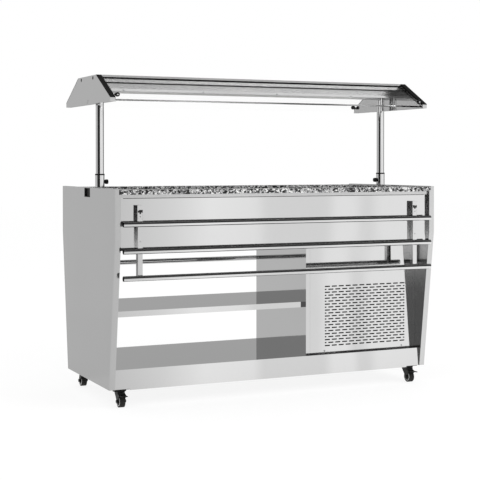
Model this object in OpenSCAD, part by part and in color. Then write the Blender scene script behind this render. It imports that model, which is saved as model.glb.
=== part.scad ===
// Mobile refrigerated salad bar with a granite top, glass canopy and folding tray slides.
// Millimetres, +Z up, length along X, the guests' side faces -Y, origin on the floor at the middle.

/* [Overall] */
// Length over the two end panels
overall_l = 1511.3; // [1400:0.1:1700]
// Depth of the end panels where they are widest
panel_d = 741.7; // [700:0.1:820]
// Height from the floor to the top of the canopy
overall_h = 1371.6; // [1350:0.1:1450]

/* [End panels] */
// Height of the end panels' top edge
panel_top_h = 898; // [890:1:910]
// Depth of the end panels' upright part, above their taper
knee_drop = 206; // [180:1:230]
// Height of the end panels' bottom edge
panel_foot_h = 77.5; // [76:0.5:82]
// How far an end panel tapers in at its foot, on each side
panel_taper = 78.85; // [60:0.05:90]
// Thickness of an end panel over its two skins
panel_t = 25; // [22:0.5:28]
// Thickness of the sheet steel
sheet_t = 1.5; // [1.2:0.1:2]

/* [Granite top] */
// Thickness of the granite slab
granite_t = 19; // [16:1:24]
// Step from the end panels' top edge down to the granite
granite_drop = 4; // [2:0.5:8]
// How far the slab's ends run into the notches of the end panels
granite_seat = 8; // [5:0.5:11]
// How far the slab's front edge lies behind the end panel's front edge
granite_set_back = 1; // [0.5:0.5:4]
// How far the slab hangs over the well's inner walls
granite_overhang = 3; // [1:0.5:6]

/* [Cold well] */
// Distance from an end panel to the well's end
well_end = 77.65; // [77:0.05:120]
// Distance from the slab's long edge to the well's side
well_side = 111.85; // [105:0.05:130]
// Depth of the well below its rim
well_depth = 158; // [120:1:170]
// Thickness of the foam jacket
foam_t = 24; // [18:1:30]
// Gap between the well and the foam, where the tube runs
coil_gap = 10; // [9:0.5:14]
// Diameter of the evaporator tube
coil_d = 8; // [6:0.5:8.5]
// Number of turns of the evaporator tube
coil_turns = 3; // [2:1:4]
// Width of a divider bar's cap
divider_w = 20; // [16:1:30]
// Depth of a divider bar's web
divider_web_h = 18; // [12:1:30]
// Number of pans that fit side by side
pan_count = 4; // [2:1:6]
// Outer diameter of the drain pipe
drain_d = 27; // [20:1:34]

/* [Top frame and aprons] */
// Height of the frame rail that shows under the granite
frame_h = 12.5; // [10:0.5:16]
// How far that rail lies behind the end panel's front edge
frame_set_back = 11; // [8:0.5:13]
// How far an apron's face lies behind the end panel's front edge
apron_set_back = 19; // [17:0.5:24]
// Height of an apron
apron_h = 224; // [200:1:230]
// Width of the folds along an apron's edges
apron_fold = 20; // [12:1:30]

/* [Base] */
// Height of the base, from the end panels' foot to the bays' floor
base_h = 80; // [70:0.5:90]
// How far the base strip lies behind the end panel's bottom corner
base_set_back = 5; // [3:0.5:8]
// Width of the folds under the base that carry the casters
base_fold = 96; // [90:1:110]
// Thickness of those folds
base_fold_t = 2.5; // [2:0.5:4]
// Depth of the lip under the base, between the casters
base_lip = 5; // [3:0.5:6]

/* [Bays] */
// Length of the cooling bay
cooling_l = 565.65; // [550:0.05:620]
// Width of the stile folded along the partition's edges
stile_w = 20; // [15:1:30]
// How far the bay's covers lie behind the base strip
cover_set_back = 32; // [26:1:36]
// Height of the mid shelf's top face over the floor
shelf_rise = 231.5; // [170:0.5:290]
// Height of the mid shelf's edge
shelf_edge = 24; // [18:1:30]
// How far the mid shelf's edges lie behind the covers
shelf_set_back = 25; // [10:1:60]

/* [Grille] */
// Number of slots in a full row
slot_count = 12; // [8:1:14]
// Number of rows of slots
row_count = 21; // [11:2:25]
// Length of one slot
slot_l = 26.5; // [20:0.5:29]
// Height of one slot
slot_h = 5.5; // [4:0.5:7]
// Distance between slots in a row
slot_pitch = 35.3; // [34:0.1:37]
// Distance between rows
row_pitch = 13.15; // [11:0.05:14]
// Height of the lowest row over the floor
row_rise = 34; // [28:0.5:45]
// Distance of the slots' first end from the partition
slot_margin = 94; // [60:1:100]

/* [Tray slides] */
// Outer diameter of a slide rail
rail_d = 22; // [20:0.5:26]
// Wall of a slide rail
rail_wall = 1.5; // [1:0.1:3]
// How far a slide rail ends short of the end panel's outer face
rail_inset = 29.65; // [29:0.05:60]
// Height of the pivot over the top rail's axis when folded down
rail_drop = 46; // [45:0.5:52]
// Distance between rail axes
rail_pitch = 108.75; // [95:0.05:110]
// Distance of the rail axes in front of the apron
rail_stand_off = 33; // [32:0.5:34]
// Distance of the arms from the end panel's inner face
arm_inset = 79.65; // [60:0.05:160]
// Width over a wall bracket
bracket_w = 24; // [20:0.5:30]
// Thickness of a wall bracket's cheek
cheek_t = 1.5; // [1:0.1:2.5]
// Depth of a wall bracket
bracket_d = 24; // [23:0.5:25]
// How far the slide's pivot lies below the apron's top edge
pivot_drop = 70; // [66:1:76]
// Diameter of the pivot pins
pin_d = 6; // [5:0.5:8]
// Height of a wall bracket above the pivot
bracket_rise = 30; // [24:1:34]
// Length of the oval hole in an arm's face
oval_l = 11; // [9:0.5:13]
// Width of that hole
oval_w = 8; // [7:0.5:9]

/* [Canopy] */
// Height of the canopy's end plates
canopy_h = 120.1; // [110:0.1:130]
// Depth of the canopy over its lower corners
canopy_d = 622; // [600:1:650]
// Depth of the canopy's flat top
canopy_top_d = 255; // [230:1:280]
// Height of the upright edge at the lower corners
canopy_corner_h = 19.5; // [15:0.5:24]
// Thickness of an end plate
end_plate_t = 22.5; // [18:0.5:24]
// Height of the top housing's upright face
housing_h = 30.5; // [26:0.5:34]
// How far the lamp hood reaches below the housing
hood_drop = 35; // [28:0.5:40]
// Depth of the lamp hood
hood_d = 180; // [150:1:210]
// Height of the slanted hem along the hood's lower edges
hem_h = 10; // [6:0.5:14]
// How far that hem leans in
hem_lean = 4; // [2:0.5:8]
// Distance from an end plate to the lamp's diffuser
diffuser_inset = 113.15; // [80:0.05:200]
// Width of the lamp's diffuser
diffuser_w = 70; // [40:1:100]
// Thickness of the glass
glass_t = 6; // [4:0.5:8]
// Gap for the black seal between the glass and the top housing
seal_w = 3; // [1:0.5:5]
// How far the glass lies behind the slanted edge of an end plate
glass_inset = 8.5; // [8:0.5:12]

/* [Posts] */
// Outer diameter of a post
post_d = 35; // [30:0.5:37]
// Wall of a post
post_wall = 2; // [1.5:0.1:3]
// Distance of the posts from the end panel's outer face
post_inset = 56.65; // [54:0.05:62]
// Outer diameter of a post socket
socket_d = 40; // [39.5:0.5:46]
// Height of a post socket over the granite
socket_h = 56; // [45:1:70]
// Height of the black collar ring on a socket
collar_h = 6; // [4:0.5:10]

/* [Casters] */
// Diameter of a caster wheel
wheel_d = 50; // [46:0.5:52]
// Width of a caster wheel
wheel_w = 24; // [20:1:26]
// Distance of a caster's swivel axis from the end panel's inner face
caster_inset = 35.65; // [34:0.05:80]
// Distance of a caster's swivel axis behind the base strip
caster_set_back = 45; // [43:1:50]
// Offset of the wheel's axle from the swivel axis
caster_trail = 20; // [15:0.5:22]
// Length of a caster's mounting plate
caster_plate_l = 80; // [70:1:84]
// Width of a caster's mounting plate
caster_plate_w = 60; // [50:1:62]
// Diameter of a caster's axle
axle_d = 8; // [6:0.5:10]

/* [Cooling unit] */
// Diameter of the compressor's shell
compressor_d = 150; // [130:1:160]
// Height of the compressor's shell
compressor_h = 165; // [140:1:190]
// Width of the condenser
condenser_w = 300; // [260:1:320]
// Height of the condenser
condenser_h = 260; // [230:1:280]
// Depth of the condenser
condenser_d = 45; // [35:1:50]
// Diameter of the condenser's fan
fan_d = 220; // [180:1:230]

/* [Fits] */
// Radial clearance of a running fit
run_fit = 0.05; // [0.02:0.01:0.1]
// Gap between pieces that move past each other
slip_gap = 0.4; // [0.3:0.1:1]
// Gap of a seated piece
seat_gap = 0.3; // [0.2:0.05:0.5]

/* [Hidden] */
$fn = 48;
over = sheet_t;                       // overrun of a cut past its face
half_l = overall_l / 2;
half_d = panel_d / 2;
knee_h = panel_top_h - knee_drop;
foot_y = half_d - panel_taper;        // half depth of an end panel along its foot
inner_x = half_l - panel_t;           // inner face of an end panel
granite_top_h = panel_top_h - granite_drop;
granite_foot_h = granite_top_h - granite_t;
granite_x = inner_x + granite_seat;
granite_y = half_d - granite_set_back;
rim_foot_h = granite_foot_h - sheet_t;
frame_foot_h = rim_foot_h - frame_h;
frame_y = half_d - frame_set_back;
apron_y = half_d - apron_set_back;    // outer face of an apron
apron_top_h = rim_foot_h - sheet_t;
apron_foot_h = apron_top_h - apron_h;
well_l = 2 * (inner_x - well_end);
well_w = 2 * (granite_y - well_side);
well_foot_h = granite_foot_h - well_depth;
well_round = coil_gap + sheet_t;
foam_gap_x = well_l / 2 + sheet_t + coil_gap;
foam_gap_y = well_w / 2 + sheet_t + coil_gap;
foam_x = foam_gap_x + foam_t;
foam_y = foam_gap_y + foam_t;
foam_foot_h = well_foot_h - sheet_t - foam_t;
drain_x = well_l / 2 - 2 * drain_d;
base_y = foot_y - base_set_back;
floor_h = panel_foot_h + base_h;
shelf_h = floor_h + shelf_rise;
partition_x = inner_x - cooling_l;
cover_y = base_y - cover_set_back;
shelf_y = cover_y - shelf_set_back;
cover_top_h = foam_foot_h - seat_gap;
cover_foot_h = floor_h + seat_gap;
cover_x0 = partition_x + stile_w + seat_gap;
cover_x1 = inner_x - seat_gap;
slot_x0 = partition_x + slot_margin;
row_foot_h = floor_h + row_rise;
plate_x = half_l - end_plate_t;       // inner face of a canopy end plate
canopy_foot_h = overall_h - canopy_h;
diffuser_x = plate_x - diffuser_inset;
canopy_slope = atan2(overall_h - canopy_foot_h - canopy_corner_h, (canopy_d - canopy_top_d) / 2);
corner_top_h = canopy_foot_h + canopy_corner_h;
strip_t = end_plate_t / 8;
strip_drop = strip_t / cos(canopy_slope);
housing_y = canopy_top_d / 2;
housing_foot_h = overall_h - housing_h;
hood_y = hood_d / 2;
hood_foot_h = housing_foot_h - hood_drop;
glass_x = plate_x - seat_gap;
glass_y0 = housing_y + seal_w;        // upper edge of the glass
glass_y1 = canopy_d / 2;              // lower edge of the glass
glass_drop = glass_inset / cos(canopy_slope);
clamp_d = 18;
clamp_t = 12;
clamp_neck = 3;                       // from an end plate to the clamp's knob
clamp_y = canopy_d / 2 - clamp_t;
plate_hole_d = 15;
plate_hole_drop = 11.5;
pull_l = 80;
pull_h = 39;
pull_t = granite_seat + 2;
pull_wall = 2;
arm_w = bracket_w - 2 * cheek_t - 2 * slip_gap;
arm_t = bracket_d - slip_gap - sheet_t;
arm_round = arm_t / 2;
arm_wall = 2;
arm_back_y = apron_y + sheet_t + slip_gap;
pivot_y = arm_back_y + arm_round;
arm_x = inner_x - arm_inset;
pivot_h = apron_top_h - pivot_drop;
rail_x = half_l - rail_inset;
rail_y = apron_y + rail_stand_off;
rail_top_h = pivot_h - rail_drop;
rail_low_h = rail_top_h - 2 * rail_pitch;
arm_foot_h = rail_low_h - rail_d / 4;
bracket_top_h = pivot_h + bracket_rise;
bracket_foot_h = rail_top_h + rail_d / 2 + sheet_t;
pin_head_d = 2 * pin_d;
pin_head_t = pin_d / 3;
screw_d = 4;
screw_drop = 16;                      // upper screw hole of an arm under its pivot
screw_low_drop = 116;
post_r = post_d / 2;
post_x = half_l - post_inset;
socket_foot_h = granite_foot_h;
collar_foot_h = granite_top_h + socket_h;
collar_lip = 0.5;
stud_d = 8;
stud_h = granite_top_h + socket_h / 2;
knob_gap = 3;
knob_d = 18;
knob_t = 13;
caster_x = inner_x - caster_inset;
caster_y = base_y - caster_set_back;
wheel_r = wheel_d / 2;
axle_r = axle_d / 2;
caster_plate_t = 3;
drum_d = 56;
drum_t = 10;
king_d = 10;
king_head_t = 3;
fork_t = 3;
wheel_gap = 0.8;
pedal_l = 34;
pedal_t = 2.5;
pedal_pin_d = 4;
fork_x = wheel_w / 2 + wheel_gap;     // inner face of a fork leg
fork_out_x = fork_x + fork_t;
drum_leg_y = sqrt(pow(drum_d / 2, 2) - pow(fork_out_x, 2));
drum_top_h = panel_foot_h - caster_plate_t - slip_gap;
drum_foot_h = drum_top_h - drum_t;
king_foot_h = drum_foot_h - slip_gap - king_head_t;
lip_x = caster_x - caster_plate_w / 2 - seat_gap;
pedal_y = 18;                         // pedal pin in front of the axle
pedal_notch_w = 9;
pedal_notch_l = 8;
axle_nut_d = 14;
axle_nut_t = 5;
pedal_tip_y = caster_trail + pedal_y + pedal_l;
pedal_h = wheel_r + sqrt(pow(wheel_r + pedal_pin_d + wheel_gap, 2) - pow(pedal_y, 2));
machine_x0 = cover_x0 + stile_w;
machine_x1 = inner_x - stile_w;
machine_y = cover_y - 2 * stile_w;
machine_t = 3;
machine_top_h = floor_h + machine_t;
shroud_t = 30;
shroud_wall = 2;
fin_pitch = 10;
fin_t = 1;
fan_x = machine_x0 + condenser_w / 2 + stile_w;
fan_h = machine_top_h + condenser_h / 2;
condenser_y0 = -machine_y;
condenser_y1 = condenser_y0 + condenser_d;
shroud_y1 = condenser_y1 + shroud_t;
fan_gap = 3;
fan_blade_l = shroud_t - 4 * fan_gap;
fan_count = 5;
blade_pitch = 28;                     // angle of a fan blade to its plane
hub_d = fan_d / 3;
shaft_d = 8;
motor_d = 72;
motor_l = 60;
motor_bar_w = 24;
compressor_x = machine_x1 - compressor_d / 2 - foam_t;
compressor_y = machine_y - compressor_d / 2 - foam_t;
compressor_foot = 15;
compressor_foot_d = 24;
compressor_round = 24;
foot_off = compressor_d / 2 * sin(45);
compressor_top_h = machine_top_h + compressor_foot + compressor_h;
tube_r = coil_d / 2;
tube_seat = seat_gap;
elbow_share = 1.15;
pass_gap = 1;                         // round a tube where it passes the foam
coil_y = well_w / 2 + sheet_t + tube_seat + tube_r;
coil_x = well_l / 2 + sheet_t + tube_seat + tube_r;
coil_round = well_round + tube_seat + tube_r;
coil_pitch = 40;
coil_foot_h = well_foot_h + coil_pitch;
coil_y0 = 2 * coil_pitch;
coil_y1 = coil_y0 - coil_turns * coil_pitch;
coil_top_h = coil_foot_h + (coil_turns - 1) * coil_pitch;
coil_out_x = coil_x + tube_r + coil_gap;
line_top_h = foam_foot_h;
line_low_h = compressor_top_h + 2 * coil_pitch;
line_x1 = fan_x + condenser_w / 2 - coil_pitch;
control_x = machine_x0 + pull_l;
control_drop = 120;
control_h = cover_top_h - control_drop;
control_knob_d = 34;
control_knob_t = 18;
control_shaft_d = 6;
switch_x = control_x + pull_l;
switch_w = 20;
switch_h = 27;
switch_t = 12;
switch_wall = 2.5;
switch_pin_d = 3;
rocker_tilt = 10;
inlet_x = switch_x + pull_l;
inlet_w = 48;
inlet_h = 28;
inlet_t = 22;
inlet_wall = 3;
inlet_blade_share = [-0.22, 0, 0.22];

// Box between two corners
module span(a, b) translate(a) cube(b - a);

// Outline of Y and Z, drawn out along X
module drawn_x(x0, x1) translate([x0, 0, 0]) rotate([90, 0, 90]) linear_extrude(x1 - x0) children();

// Outline of X and Z, drawn out along +Y
module drawn_y(y0, y1) translate([0, y1, 0]) rotate([90, 0, 0]) linear_extrude(y1 - y0) children();

// Rod between two points
module rod(a, b, r) {
    d = b - a;
    translate(a) rotate([0, acos(d[2] / norm(d)), atan2(d[1], d[0])]) cylinder(r = r, h = norm(d));
}

// Bent tube with soldered elbows
module run(points, r) {
    for (i = [1 : len(points) - 1]) rod(points[i - 1], points[i], r);
    for (i = [1 : len(points) - 2]) translate(points[i]) sphere(r * elbow_share);
}

module rounded(l, w, r) {
    square([l - 2 * r, w], center = true);
    square([l, w - 2 * r], center = true);
    for (x = [-1, 1], y = [-1, 1]) translate([x * (l / 2 - r), y * (w / 2 - r)]) circle(r);
}

module both_ends() for (s = [0, 1]) mirror([s, 0, 0]) children();
module both_sides() for (s = [0, 1]) mirror([0, s, 0]) children();

// Outline of an end panel, drawn in by a wall
function side_points(wall) = [
    [-foot_y + wall, panel_foot_h + wall], [foot_y - wall, panel_foot_h + wall],
    [half_d - wall, knee_h], [half_d - wall, panel_top_h - wall],
    [-half_d + wall, panel_top_h - wall], [-half_d + wall, knee_h]];

module end_panel() color("silver") difference() {
    drawn_x(inner_x, half_l) polygon(side_points(0));
    intersection() {
        drawn_x(inner_x - over, half_l - sheet_t) polygon(side_points(sheet_t));
        span([inner_x - over, -half_d, 0], [half_l, half_d, rim_foot_h]);
    }
    drawn_x(granite_x + sheet_t, half_l - sheet_t) polygon(side_points(sheet_t));
    span([inner_x - over, -half_d - over, granite_foot_h], [granite_x, half_d + over, overall_h]);
    span([half_l - sheet_t - over, -pull_l / 2, panel_top_h - pull_h - pull_wall],
        [half_l + over, pull_l / 2, panel_top_h - pull_wall]);
}

module inner_skins() color("silver") both_ends() intersection() {
    drawn_x(inner_x, inner_x + sheet_t) polygon(side_points(sheet_t));
    span([0, -half_d, 0], [half_l, half_d, rim_foot_h]);
}

module left_end_panel() mirror([1, 0, 0]) end_panel();
module right_end_panel() end_panel();

module granite_top() color("dimgray") difference() {
    span([-granite_x, -granite_y, granite_foot_h], [granite_x, granite_y, granite_top_h]);
    translate([0, 0, granite_foot_h - over]) linear_extrude(granite_t + 2 * over)
        rounded(well_l - 2 * granite_overhang, well_w - 2 * granite_overhang, well_round);
    both_ends() translate([post_x, 0, granite_foot_h - over])
        cylinder(r = socket_d / 2 + seat_gap, h = granite_t + 2 * over);
}

module top_frame() color("gainsboro") difference() {
    span([-inner_x, -frame_y, frame_foot_h], [inner_x, frame_y, rim_foot_h]);
    span([-foam_x, -foam_y, 0], [foam_x, foam_y, overall_h]);
    difference() {
        span([-inner_x - over, -frame_y + sheet_t, 0], [inner_x + over, frame_y - sheet_t, apron_top_h]);
        span([-foam_x - sheet_t, -foam_y - sheet_t, 0],
            [foam_x + sheet_t, foam_y + sheet_t, overall_h]);
    }
}

// Apron folded inwards along its top and bottom edges
module apron() color("silver") difference() {
    span([-inner_x, apron_y - apron_fold, apron_foot_h], [inner_x, apron_y, apron_top_h]);
    span([-inner_x - over, apron_y - apron_fold - over, apron_foot_h + sheet_t],
        [inner_x + over, apron_y - sheet_t, apron_top_h - sheet_t]);
}

module front_apron() mirror([0, 1, 0]) apron();
module rear_apron() apron();

module well_rim() color("gainsboro") difference() {
    span([-cover_x1, -frame_y, rim_foot_h], [cover_x1, frame_y, granite_foot_h]);
    translate([0, 0, well_foot_h]) linear_extrude(well_depth + over) rounded(well_l, well_w, well_round);
}

module cold_well() color("gainsboro") difference() {
    translate([0, 0, well_foot_h - sheet_t]) linear_extrude(rim_foot_h - well_foot_h + sheet_t)
        rounded(well_l + 2 * sheet_t, well_w + 2 * sheet_t, well_round + sheet_t);
    translate([0, 0, well_foot_h]) linear_extrude(well_depth) rounded(well_l, well_w, well_round);
    translate([drain_x, 0, 0]) cylinder(r = drain_d / 2 - sheet_t, h = overall_h);
}

module well_insulation() color("khaki") difference() {
    span([-foam_x, -foam_y, foam_foot_h], [foam_x, foam_y, rim_foot_h]);
    span([-foam_gap_x, -foam_gap_y, well_foot_h - sheet_t], [foam_gap_x, foam_gap_y, overall_h]);
    translate([drain_x, 0, 0]) cylinder(r = drain_d / 2 + seat_gap, h = overall_h);
    span([foam_gap_x - over, coil_y1 - tube_r - pass_gap, 0],
        [coil_out_x + tube_r + pass_gap, coil_y1 + tube_r + pass_gap, coil_top_h + coil_d]);
    translate([coil_x, coil_y0, 0]) cylinder(r = tube_r + seat_gap, h = well_foot_h);
}

// One turn round the well, open between two places on its right end
module coil_turn(y_from, y_to) {
    for (s = [-1, 1]) {
        rod([-coil_x + coil_round, s * coil_y, 0], [coil_x - coil_round, s * coil_y, 0], tube_r);
        for (t = [-1, 1]) intersection() {
            translate([s * (coil_x - coil_round), t * (coil_y - coil_round), 0])
                rotate_extrude() translate([coil_round, 0]) circle(tube_r);
            span([min(s * (coil_x - coil_round), s * (coil_x + coil_d)),
                min(t * (coil_y - coil_round), t * (coil_y + coil_d)), -tube_r],
                [max(s * (coil_x - coil_round), s * (coil_x + coil_d)),
                max(t * (coil_y - coil_round), t * (coil_y + coil_d)), tube_r]);
        }
    }
    rod([-coil_x, -coil_y + coil_round, 0], [-coil_x, coil_y - coil_round, 0], tube_r);
    rod([coil_x, y_from, 0], [coil_x, coil_y - coil_round, 0], tube_r);
    rod([coil_x, -coil_y + coil_round, 0], [coil_x, y_to, 0], tube_r);
}

module evaporator_coil() color("peru") {
    for (i = [0 : coil_turns - 1]) {
        y_from = coil_y0 - i * coil_pitch;
        y_to = y_from - coil_pitch;
        z = coil_foot_h + i * coil_pitch;
        translate([0, 0, z]) coil_turn(y_from, y_to);
        translate([coil_x, y_from, z]) sphere(tube_r);
        translate([coil_x, y_to, z]) sphere(tube_r);
        if (i < coil_turns - 1) rod([coil_x, y_to, z], [coil_x, y_to, z + coil_pitch], tube_r);
    }
    rod([coil_x, coil_y0, line_top_h], [coil_x, coil_y0, coil_foot_h], tube_r);
    run([[coil_x, coil_y1, coil_top_h], [coil_out_x, coil_y1, coil_top_h],
        [coil_out_x, coil_y1, line_top_h]], tube_r);
}

module divider_bars() color("silver") for (i = [1 : pan_count - 1])
    translate([-well_l / 2 + i * well_l / pan_count, 0, 0]) {
        span([-divider_w / 2, -well_w / 2, granite_foot_h - sheet_t],
            [divider_w / 2, well_w / 2, granite_foot_h]);
        for (s = [-1, 1]) span([s * divider_w / 2 - (s + 1) * sheet_t / 2, -well_w / 2,
            granite_foot_h - divider_web_h],
            [s * divider_w / 2 - (s - 1) * sheet_t / 2, well_w / 2, granite_foot_h - sheet_t]);
    }

module drain_pipe() color("silver") translate([drain_x, 0, 0]) difference() {
    translate([0, 0, foam_foot_h - 2 * drain_d])
        cylinder(r = drain_d / 2, h = well_foot_h - sheet_t - foam_foot_h + 2 * drain_d);
    translate([0, 0, foam_foot_h - 3 * drain_d]) cylinder(r = drain_d / 2 - sheet_t, h = overall_h);
}

module floor_tray() color("gainsboro") {
    difference() {
        span([-inner_x, -base_y, panel_foot_h], [inner_x, base_y, floor_h]);
        span([-inner_x - over, -base_y + sheet_t, panel_foot_h + base_fold_t],
            [inner_x + over, base_y - sheet_t, floor_h - sheet_t]);
        span([-inner_x - over, -base_y + base_fold, 0],
            [inner_x + over, base_y - base_fold, floor_h - sheet_t]);
    }
    both_sides() span([-lip_x, base_y - base_fold_t, panel_foot_h - base_lip],
        [lip_x, base_y, panel_foot_h + base_fold_t]);
}

module mid_shelf() color("gainsboro") difference() {
    span([-inner_x, -shelf_y, shelf_h - shelf_edge], [partition_x, shelf_y, shelf_h]);
    span([-inner_x - over, -shelf_y + sheet_t, 0],
        [partition_x + over, shelf_y - sheet_t, shelf_h - sheet_t]);
}

module partition() color("silver") difference() {
    span([partition_x, -cover_y, floor_h], [partition_x + stile_w, cover_y, foam_foot_h]);
    span([partition_x + sheet_t, -cover_y + sheet_t, 0],
        [partition_x + stile_w + over, cover_y - sheet_t, overall_h]);
}

module slot(l) {
    translate([slot_h / 2, -slot_h / 2]) square([l - slot_h, slot_h]);
    for (x = [slot_h / 2, l - slot_h / 2]) translate([x, 0]) circle(slot_h / 2, $fn = 16);
}

// Every second row is set half a pitch over and ends in short slots
module slot_pattern() {
    half_slot = slot_l - slot_pitch / 2;
    for (row = [0 : row_count - 1]) translate([slot_x0, row_foot_h + row * row_pitch]) {
        if (row % 2 == 0) for (i = [0 : slot_count - 1]) translate([i * slot_pitch, 0]) slot(slot_l);
        else {
            for (i = [1 : slot_count - 1]) translate([(i * 2 - 1) * slot_pitch / 2, 0]) slot(slot_l);
            slot(half_slot);
            translate([(slot_count * 2 - 1) * slot_pitch / 2, 0]) slot(half_slot);
        }
    }
}

// Cover of the cooling unit's bay
module cover() drawn_y(-cover_y, -cover_y + sheet_t) difference() {
    translate([cover_x0, cover_foot_h]) square([cover_x1 - cover_x0, cover_top_h - cover_foot_h]);
    children();
}

module grille_cover() color("silver") cover() slot_pattern();

module rear_cover() color("silver") mirror([0, 1, 0]) cover() {
    translate([control_x, control_h]) circle(control_shaft_d / 2 + run_fit);
    translate([switch_x, control_h])
        square([switch_w + 2 * switch_wall, switch_h + 2 * switch_wall], center = true);
    translate([inlet_x, control_h]) square([inlet_w, inlet_h], center = true);
}

module machine_plate() color("gray")
    span([machine_x0, -machine_y, floor_h], [machine_x1, machine_y, machine_top_h]);

module compressor() color("black")
    translate([compressor_x, compressor_y, machine_top_h + compressor_foot]) {
    cylinder(r = compressor_d / 2, h = compressor_h - compressor_round);
    translate([0, 0, compressor_h - compressor_round]) {
        rotate_extrude() translate([compressor_d / 2 - compressor_round, 0]) intersection() {
            circle(compressor_round);
            square(compressor_round);
        }
        cylinder(r = compressor_d / 2 - compressor_round, h = compressor_round);
    }
    for (x = [-1, 1], y = [-1, 1])
        translate([x * foot_off, y * foot_off, -compressor_foot])
            cylinder(r = compressor_foot_d / 2, h = compressor_foot + sheet_t);
}

module condenser() color("silver") {
    x0 = fan_x - condenser_w / 2;
    x1 = fan_x + condenser_w / 2;
    translate([0, 0, machine_top_h]) linear_extrude(condenser_h) difference() {
        translate([x0, condenser_y0]) square([condenser_w, condenser_d]);
        for (x = [x0 + shroud_wall : fin_pitch : x1 - fin_pitch])
            translate([x, condenser_y0 + shroud_wall]) square([fin_pitch - fin_t, condenser_d]);
    }
    difference() {
        span([x0, condenser_y1 - fin_t, machine_top_h], [x1, shroud_y1, machine_top_h + condenser_h]);
        translate([fan_x, shroud_y1 + over, fan_h]) rotate([90, 0, 0])
            cylinder(r = fan_d / 2 + fan_gap, h = shroud_t + 2 * over);
    }
}

module fan_motor() color("dimgray") translate([fan_x, shroud_y1, fan_h]) {
    span([-condenser_w / 2, 0, -motor_bar_w / 2], [condenser_w / 2, shroud_wall, motor_bar_w / 2]);
    rotate([-90, 0, 0]) cylinder(r = motor_d / 2, h = motor_l);
    rotate([90, 0, 0]) cylinder(r = shaft_d / 2, h = shroud_t - fin_t);
}

module fan_blades() color("darkgray")
    translate([fan_x, shroud_y1 - shroud_t / 2, fan_h]) rotate([90, 0, 0]) difference() {
        union() {
            cylinder(r = hub_d / 2, h = fan_blade_l, center = true);
            for (i = [0 : fan_count - 1]) rotate([0, 0, i * 360 / fan_count])
                translate([hub_d / 3, 0, 0]) rotate([blade_pitch, 0, 0])
                span([0, -hub_d / 4, -fin_t], [fan_d / 2 - hub_d / 3, hub_d / 4, fin_t]);
        }
        cylinder(r = shaft_d / 2 + run_fit, h = shroud_t, center = true);
    }

module refrigerant_lines() color("peru") {
    run([[coil_x, coil_y0, line_top_h], [coil_x, coil_y0, line_low_h],
        [compressor_x, compressor_y, line_low_h], [compressor_x, compressor_y, compressor_top_h]], tube_r);
    run([[coil_out_x, coil_y1, line_top_h], [coil_out_x, coil_y1, line_top_h - coil_pitch],
        [line_x1, condenser_y0 + condenser_d / 2, line_top_h - coil_pitch],
        [line_x1, condenser_y0 + condenser_d / 2, machine_top_h + condenser_h]], tube_r);
}

module thermostat_knob() color("black")
    translate([control_x, cover_y + slip_gap, control_h]) rotate([-90, 0, 0]) {
        cylinder(r = control_knob_d / 2, h = control_knob_t);
        translate([0, 0, -control_knob_t]) cylinder(r = control_shaft_d / 2, h = control_knob_t);
    }

// Rocker on a cross pin, tipped to its off side
module power_switch() color("black") translate([switch_x, cover_y, control_h]) rotate([rocker_tilt, 0, 0]) {
    span([-switch_w / 2 + slip_gap, -switch_t / 2, -switch_h / 2 + slip_gap + sheet_t],
        [switch_w / 2 - slip_gap, switch_t / 4, switch_h / 2 - slip_gap - sheet_t]);
    rod([-switch_w / 2 - switch_wall, 0, 0], [switch_w / 2 + switch_wall, 0, 0], switch_pin_d / 2);
}

module power_inlet() color("black") {
    translate([switch_x, cover_y, control_h]) difference() {
        span([-switch_w / 2 - switch_wall, -switch_t, -switch_h / 2 - switch_wall],
            [switch_w / 2 + switch_wall, switch_pin_d, switch_h / 2 + switch_wall]);
        span([-switch_w / 2, -switch_t + switch_wall, -switch_h / 2],
            [switch_w / 2, switch_t, switch_h / 2]);
        rod([-switch_w, 0, 0], [switch_w, 0, 0], switch_pin_d / 2 + run_fit);
    }
    translate([inlet_x, cover_y, control_h]) {
        difference() {
            span([-inlet_w / 2, -inlet_t - inlet_wall, -inlet_h / 2], [inlet_w / 2, sheet_t, inlet_h / 2]);
            span([-inlet_w / 2 + inlet_wall, -inlet_t, -inlet_h / 2 + inlet_wall],
                [inlet_w / 2 - inlet_wall, inlet_t, inlet_h / 2 - inlet_wall]);
        }
        for (share = inlet_blade_share) translate([share * inlet_w, -inlet_t, 0])
            span([-fin_t, 0, -inlet_wall], [fin_t, inlet_t - inlet_wall, inlet_wall]);
    }
}

// Cup of a flush pull, set in the end panel's skin
module end_pulls() color("black") both_ends() difference() {
    span([half_l - pull_t, -pull_l / 2, panel_top_h - pull_h - pull_wall],
        [half_l, pull_l / 2, panel_top_h - pull_wall]);
    span([half_l - pull_t + pull_wall, -pull_l / 2 + pull_wall, panel_top_h - pull_h],
        [half_l + over, pull_l / 2 - pull_wall, panel_top_h - 2 * pull_wall]);
}

// Channel screwed to an apron; its front is open below the pivot for the swinging arm
module slide_brackets() color("silver") both_sides() both_ends() difference() {
    span([arm_x - bracket_w / 2, apron_y, bracket_foot_h],
        [arm_x + bracket_w / 2, apron_y + bracket_d, bracket_top_h]);
    span([arm_x - bracket_w / 2 + cheek_t, apron_y + sheet_t, 0],
        [arm_x + bracket_w / 2 - cheek_t, apron_y + bracket_d - sheet_t, bracket_top_h - sheet_t]);
    span([arm_x - bracket_w / 2 + cheek_t, apron_y + sheet_t, 0],
        [arm_x + bracket_w / 2 - cheek_t, half_l, pivot_h + arm_round + slip_gap]);
    translate([arm_x, pivot_y, pivot_h]) rotate([0, 90, 0])
        cylinder(r = pin_d / 2, h = 2 * bracket_w, center = true);
}

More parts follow.
